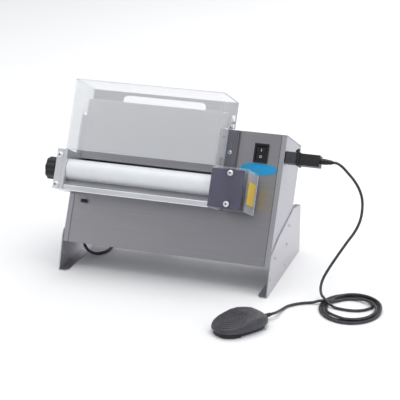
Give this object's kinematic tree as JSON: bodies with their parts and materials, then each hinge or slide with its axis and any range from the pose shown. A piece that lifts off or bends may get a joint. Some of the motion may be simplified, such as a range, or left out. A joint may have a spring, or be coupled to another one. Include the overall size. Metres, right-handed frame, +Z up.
{
  "type": "dough sheeter",
  "caption": "tabletop dough sheeter: tilted steel housing with two white rollers, clear hinged guard over the feed, thickness knob, rocker switch and corded foot pedal",
  "frame": {"origin": "on the floor plane, at the centre of the machine's and pedal's footprint taken without the free cords", "axes": "+X to the user's right along the rollers, +Y to the back, +Z up; the tilted front panel faces -Y"},
  "size_m": [0.7159, 0.4935, 0.3801],
  "materials": {
    "stainless_sheet": "brushed stainless sheet, grain along the width",
    "foot_sheet": "lightly brushed stainless sheet",
    "anodised_aluminium": "satin anodised blocks and bar",
    "slate_anodised": "dark slate anodised plate",
    "bright_steel": "ground steel shafts, gears and screws",
    "clear_polycarbonate": "clear polycarbonate sheet with rounded bends",
    "white_acetal": "turned white acetal",
    "black_plastic": "black moulded plastic",
    "pedal_plastic": "dark grey moulded plastic with fine ribs",
    "grey_casting": "grey painted casting",
    "circuit_board": "green circuit board",
    "blue_badge": "glossy blue oval label",
    "cord_rubber": "black flexible cord sheath"
  },
  "bodies": {
    "housing": {"side_panel_left": "stainless_sheet", "side_panel_right": "stainless_sheet", "front_panel": "stainless_sheet", "top_cover": "stainless_sheet", "rear_cover": "stainless_sheet", "bottom_plate": "stainless_sheet", "bearing_plate_left": "anodised_aluminium", "bearing_plate_right": "anodised_aluminium", "end_block_left": "anodised_aluminium", "gearbox": "grey_casting", "motor": "grey_casting", "drive_bracket": "bright_steel", "control_board": "circuit_board", "scraper_front": "stainless_sheet", "scraper_rear": "stainless_sheet", "tie_bar": "anodised_aluminium", "gear_case_front": "slate_anodised", "gear_cover": "clear_polycarbonate", "hinge_bracket_left": "stainless_sheet", "hinge_bracket_right": "stainless_sheet", "guard_channel": "stainless_sheet", "switch_housing": "black_plastic", "badge": "blue_badge", "pedal_socket": "black_plastic", "pedal_plug": "black_plastic", "foot_left": "foot_sheet", "foot_right": "foot_sheet", "block_screw_lower": "bright_steel", "block_screw_upper": "bright_steel", "case_screw_lower": "bright_steel", "case_screw_upper": "bright_steel", "pedal_base": "black_plastic", "pedal_base_plate": "bright_steel", "pedal_microswitch": "black_plastic", "pedal_spring": "bright_steel", "pedal_cord_drop": "cord_rubber", "pedal_cord_coil": "cord_rubber", "pedal_cord_tail": "cord_rubber", "mains_gland": "cord_rubber", "mains_cord_drop": "cord_rubber", "mains_cord_coil": "cord_rubber", "mains_plug": "cord_rubber"},
    "rear_roller_body": {"rear_roller": "white_acetal", "rear_shaft": "bright_steel", "rear_gear": "bright_steel"},
    "carriage": {"carrier_left": "white_acetal", "carrier_right": "white_acetal"},
    "front_roller_body": {"front_roller": "white_acetal", "front_shaft": "bright_steel", "front_gear": "bright_steel"},
    "output": {"drive_gear": "bright_steel"},
    "fan": {"motor_fan": "black_plastic"},
    "adjuster": {"adjuster_knob": "black_plastic", "adjuster_shaft": "bright_steel"},
    "guard": {"guard_shell": "clear_polycarbonate", "guard_back_plate": "stainless_sheet", "guard_magnet": "black_plastic"},
    "rocker": {"switch_rocker": "black_plastic"},
    "latch": {"plug_latch": "black_plastic"},
    "treadle": {"pedal_treadle": "pedal_plastic"}
  },
  "joints": [
    {"name": "rear_roller_spin", "type": "hinge", "parent": "housing", "child": "rear_roller_body", "pos_m": [-0.0536, 0.05135, 0.18877], "axis": [1, 0, 0], "continuous": true},
    {"name": "nip_slide", "type": "slide", "parent": "housing", "child": "carriage", "axis": [0, -0.8949, 0.4462], "range_m": [0, 0.0035]},
    {"name": "front_roller_spin", "type": "hinge", "parent": "carriage", "child": "front_roller_body", "pos_m": [-0.0536, 0.01377, 0.20751], "axis": [1, 0, 0], "continuous": true},
    {"name": "output_spin", "type": "hinge", "parent": "housing", "child": "output", "pos_m": [0.1124, 0.0795, 0.14624], "axis": [1, 0, 0], "continuous": true},
    {"name": "fan_spin", "type": "hinge", "parent": "housing", "child": "fan", "pos_m": [-0.0936, 0.09852, 0.13509], "axis": [1, 0, 0], "continuous": true},
    {"name": "thickness_knob", "type": "hinge", "parent": "housing", "child": "adjuster", "pos_m": [-0.2326, 0.03256, 0.19814], "axis": [1, 0, 0], "range_deg": [0, 240]},
    {"name": "guard_hinge", "type": "hinge", "parent": "housing", "child": "guard", "pos_m": [-0.0569, 0.14358, 0.29867], "axis": [-1, 0, 0], "range_deg": [0, 90]},
    {"name": "power_rocker", "type": "hinge", "parent": "housing", "child": "rocker", "pos_m": [0.174, 0.09349, 0.25648], "axis": [-1, 0, 0], "range_deg": [0, 14]},
    {"name": "plug_latch_hinge", "type": "hinge", "parent": "housing", "child": "latch", "pos_m": [0.2424, 0.11097, 0.26129], "axis": [0, -0.8949, 0.4462], "range_deg": [0, 40]},
    {"name": "pedal_hinge", "type": "hinge", "parent": "housing", "child": "treadle", "pos_m": [0.23838, -0.14036, 0.0135], "axis": [0.7986, -0.6018, 0], "range_deg": [0, 3.5], "stiffness_Nm_per_rad": 3, "springref_deg": -2.86, "deforming": ["pedal_spring"]}
  ],
  "couplings": [
    {"joint": "front_roller_spin", "follows": "rear_roller_spin", "ratio": -1},
    {"joint": "output_spin", "follows": "rear_roller_spin", "ratio": -0.7},
    {"joint": "fan_spin", "follows": "rear_roller_spin", "ratio": -8.4},
    {"joint": "thickness_knob", "follows": "nip_slide", "rad_per_m": 1196.8}
  ]
}
